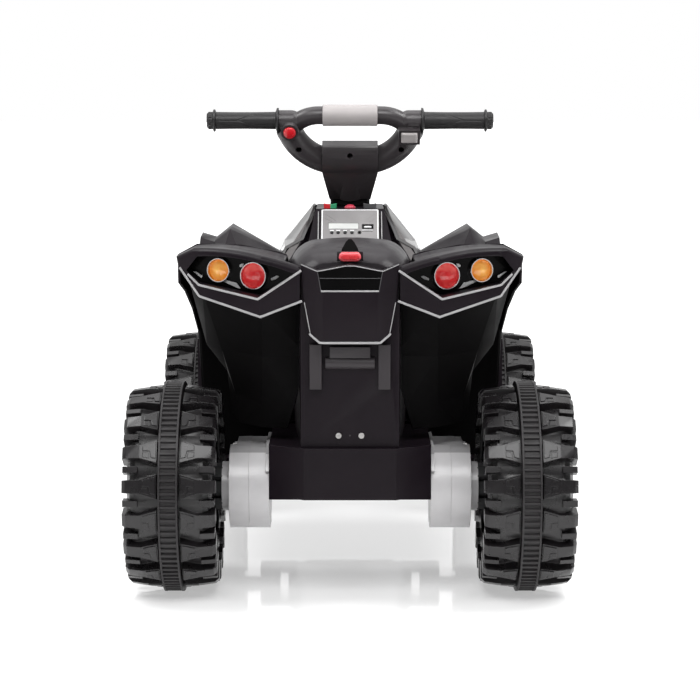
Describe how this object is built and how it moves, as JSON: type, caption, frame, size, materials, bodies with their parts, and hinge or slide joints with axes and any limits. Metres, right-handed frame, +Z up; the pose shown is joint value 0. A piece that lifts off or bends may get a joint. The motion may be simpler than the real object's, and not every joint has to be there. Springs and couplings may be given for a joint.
{
  "type": "kids quad bike",
  "caption": "Ride-on electric quad bike for children with lugged wheels, ribbed traction bands, steering handlebar, lifting seat, tail lamps, dash controls and geared wheel motors.",
  "frame": {"origin": "on the floor under the middle of the whole vehicle", "axes": "+X to the rider's right, +Y forward, +Z up"},
  "size_m": [0.606, 0.95, 0.6664],
  "materials": {
    "black_plastic": "satin moulded",
    "wheel_plastic": "matte moulded",
    "band_rubber": "ribbed",
    "gloss_black": "gloss",
    "seat_plastic": "fine grain",
    "grip_rubber": "matte",
    "grey_plastic": "satin",
    "silver_panel": "silver",
    "red_plastic": "gloss",
    "green_red_plastic": "gloss",
    "red_lens": "clear tinted",
    "amber_lens": "clear tinted",
    "clear_lens": "clear",
    "display_glass": "dark",
    "bright_ring": "polished",
    "nylon": "milky",
    "steel": "plated",
    "dark_steel": "satin black",
    "battery_plastic": "matte",
    "wire": "sleeved"
  },
  "bodies": {
    "chassis": {"chassis_tub": "black_plastic", "body_shell": "black_plastic", "tail_panel": "black_plastic", "rear_fender_left": "black_plastic", "rear_fender_right": "black_plastic", "tail_lamp_pods": "gloss_black", "tail_lamp_rings": "bright_ring", "tail_lenses_red": "red_lens", "tail_lenses_amber": "amber_lens", "front_cowl": "black_plastic", "front_fenders": "black_plastic", "headlights": "clear_lens", "front_bumper": "black_plastic", "dash_panel": "silver_panel", "display_window": "display_glass", "rear_axle": "steel", "gearbox_cases": "nylon", "gearbox_covers": "nylon", "motors": "steel", "battery": "battery_plastic", "control_box": "black_plastic", "wiring_loom": "wire", "fasteners": "steel"},
    "seat": {"seat": "seat_plastic"},
    "seat_latch": {"seat_latch": "red_plastic"},
    "handlebar": {"handlebar_rear_shell": "black_plastic", "handlebar_front_shell": "black_plastic", "crossbar_pad": "grey_plastic", "handle_grips": "grip_rubber", "steering_column": "steel"},
    "horn_button": {"horn_button": "red_plastic"},
    "throttle_button": {"throttle_button": "grey_plastic"},
    "knuckle_left": {"knuckle_left": "dark_steel"},
    "knuckle_right": {"knuckle_right": "dark_steel"},
    "tie_rod": {"tie_rod": "steel"},
    "power_rocker": {"power_rocker": "green_red_plastic"},
    "speed_rocker": {"speed_rocker": "black_plastic"},
    "start_button": {"start_button": "red_plastic"},
    "music_key_1": {"music_key_1": "grey_plastic"},
    "music_key_2": {"music_key_2": "grey_plastic"},
    "music_key_3": {"music_key_3": "grey_plastic"},
    "music_key_4": {"music_key_4": "grey_plastic"},
    "rear_wheel_left": {"wheel_rear_left": "wheel_plastic", "band_rear_left": "band_rubber", "hub_cap_rear_left": "silver_panel", "output_gear_left": "nylon"},
    "front_wheel_left": {"wheel_front_left": "wheel_plastic", "band_front_left": "band_rubber", "hub_cap_front_left": "silver_panel"},
    "idler_left": {"idler_gear_left": "nylon"},
    "pinion_left": {"pinion_left": "steel"},
    "rear_wheel_right": {"wheel_rear_right": "wheel_plastic", "band_rear_right": "band_rubber", "hub_cap_rear_right": "silver_panel", "output_gear_right": "nylon"},
    "front_wheel_right": {"wheel_front_right": "wheel_plastic", "band_front_right": "band_rubber", "hub_cap_front_right": "silver_panel"},
    "idler_right": {"idler_gear_right": "nylon"},
    "pinion_right": {"pinion_right": "steel"}
  },
  "joints": [
    {"name": "handlebar_turn", "type": "hinge", "parent": "chassis", "child": "handlebar", "pos_m": [0, 0.08371, 0.59], "axis": [0, -0.4695, 0.8829], "range_deg": [-25, 25]},
    {"name": "knuckle_left_turn", "type": "hinge", "parent": "chassis", "child": "knuckle_left", "pos_m": [-0.135, 0.31, 0.145], "axis": [0, 0, 1], "range_deg": [-25.5, 25.5]},
    {"name": "knuckle_right_turn", "type": "hinge", "parent": "chassis", "child": "knuckle_right", "pos_m": [0.135, 0.31, 0.145], "axis": [0, 0, 1], "range_deg": [-25.5, 25.5]},
    {"name": "tie_rod_slide", "type": "slide", "parent": "chassis", "child": "tie_rod", "axis": [1, 0, 0], "range_m": [-0.01662, 0.01662]},
    {"name": "front_left_spin", "type": "hinge", "parent": "knuckle_left", "child": "front_wheel_left", "pos_m": [-0.241, 0.31, 0.145], "axis": [1, 0, 0], "continuous": true},
    {"name": "front_right_spin", "type": "hinge", "parent": "knuckle_right", "child": "front_wheel_right", "pos_m": [0.241, 0.31, 0.145], "axis": [1, 0, 0], "continuous": true},
    {"name": "rear_left_spin", "type": "hinge", "parent": "chassis", "child": "rear_wheel_left", "pos_m": [-0.241, -0.33, 0.145], "axis": [1, 0, 0], "continuous": true},
    {"name": "idler_left_spin", "type": "hinge", "parent": "chassis", "child": "idler_left", "pos_m": [-0.135, -0.281, 0.17106], "axis": [1, 0, 0], "continuous": true},
    {"name": "pinion_left_spin", "type": "hinge", "parent": "chassis", "child": "pinion_left", "pos_m": [-0.125, -0.25627, 0.1842], "axis": [1, 0, 0], "continuous": true},
    {"name": "rear_right_spin", "type": "hinge", "parent": "chassis", "child": "rear_wheel_right", "pos_m": [0.241, -0.33, 0.145], "axis": [1, 0, 0], "continuous": true},
    {"name": "idler_right_spin", "type": "hinge", "parent": "chassis", "child": "idler_right", "pos_m": [0.135, -0.281, 0.17106], "axis": [1, 0, 0], "continuous": true},
    {"name": "pinion_right_spin", "type": "hinge", "parent": "chassis", "child": "pinion_right", "pos_m": [0.125, -0.25627, 0.1842], "axis": [1, 0, 0], "continuous": true},
    {"name": "seat_lift", "type": "hinge", "parent": "chassis", "child": "seat", "pos_m": [0, -0.0615, 0.452], "axis": [-1, 0, 0], "range_deg": [0, 65]},
    {"name": "seat_latch_press", "type": "slide", "parent": "seat", "child": "seat_latch", "axis": [0, 1, 0], "range_m": [0, 0.005], "stiffness_N_per_m": 400},
    {"name": "horn_press", "type": "slide", "parent": "handlebar", "child": "horn_button", "axis": [0, 0.8829, 0.4695], "range_m": [0, 0.003], "stiffness_N_per_m": 500},
    {"name": "throttle_press", "type": "slide", "parent": "handlebar", "child": "throttle_button", "axis": [0, 0.8829, 0.4695], "range_m": [0, 0.0035], "stiffness_N_per_m": 500},
    {"name": "music_key_1_press", "type": "slide", "parent": "chassis", "child": "music_key_1", "axis": [0, 0.7088, -0.7054], "range_m": [0, 0.0012], "stiffness_N_per_m": 300},
    {"name": "music_key_2_press", "type": "slide", "parent": "chassis", "child": "music_key_2", "axis": [0, 0.7088, -0.7054], "range_m": [0, 0.0012], "stiffness_N_per_m": 300},
    {"name": "music_key_3_press", "type": "slide", "parent": "chassis", "child": "music_key_3", "axis": [0, 0.7088, -0.7054], "range_m": [0, 0.0012], "stiffness_N_per_m": 300},
    {"name": "music_key_4_press", "type": "slide", "parent": "chassis", "child": "music_key_4", "axis": [0, 0.7088, -0.7054], "range_m": [0, 0.0012], "stiffness_N_per_m": 300},
    {"name": "power_rocker_tilt", "type": "hinge", "parent": "chassis", "child": "power_rocker", "pos_m": [-0.0305, 0.048, 0.503], "axis": [0, 1, 0], "range_deg": [-6, 6]},
    {"name": "speed_rocker_tilt", "type": "hinge", "parent": "chassis", "child": "speed_rocker", "pos_m": [0.0305, 0.048, 0.503], "axis": [0, 1, 0], "range_deg": [-6, 6]},
    {"name": "start_press", "type": "slide", "parent": "chassis", "child": "start_button", "axis": [0, 0, -1], "range_m": [0, 0.003], "stiffness_N_per_m": 500}
  ],
  "couplings": [
    {"joint": "knuckle_left_turn", "follows": "handlebar_turn", "ratio": 1},
    {"joint": "knuckle_right_turn", "follows": "handlebar_turn", "ratio": 1},
    {"joint": "tie_rod_slide", "follows": "handlebar_turn", "m_per_rad": 0.037404},
    {"joint": "idler_left_spin", "follows": "rear_left_spin", "ratio": -4.2857},
    {"joint": "pinion_left_spin", "follows": "rear_left_spin", "ratio": 12.857},
    {"joint": "idler_right_spin", "follows": "rear_right_spin", "ratio": -4.2857},
    {"joint": "pinion_right_spin", "follows": "rear_right_spin", "ratio": 12.857}
  ]
}
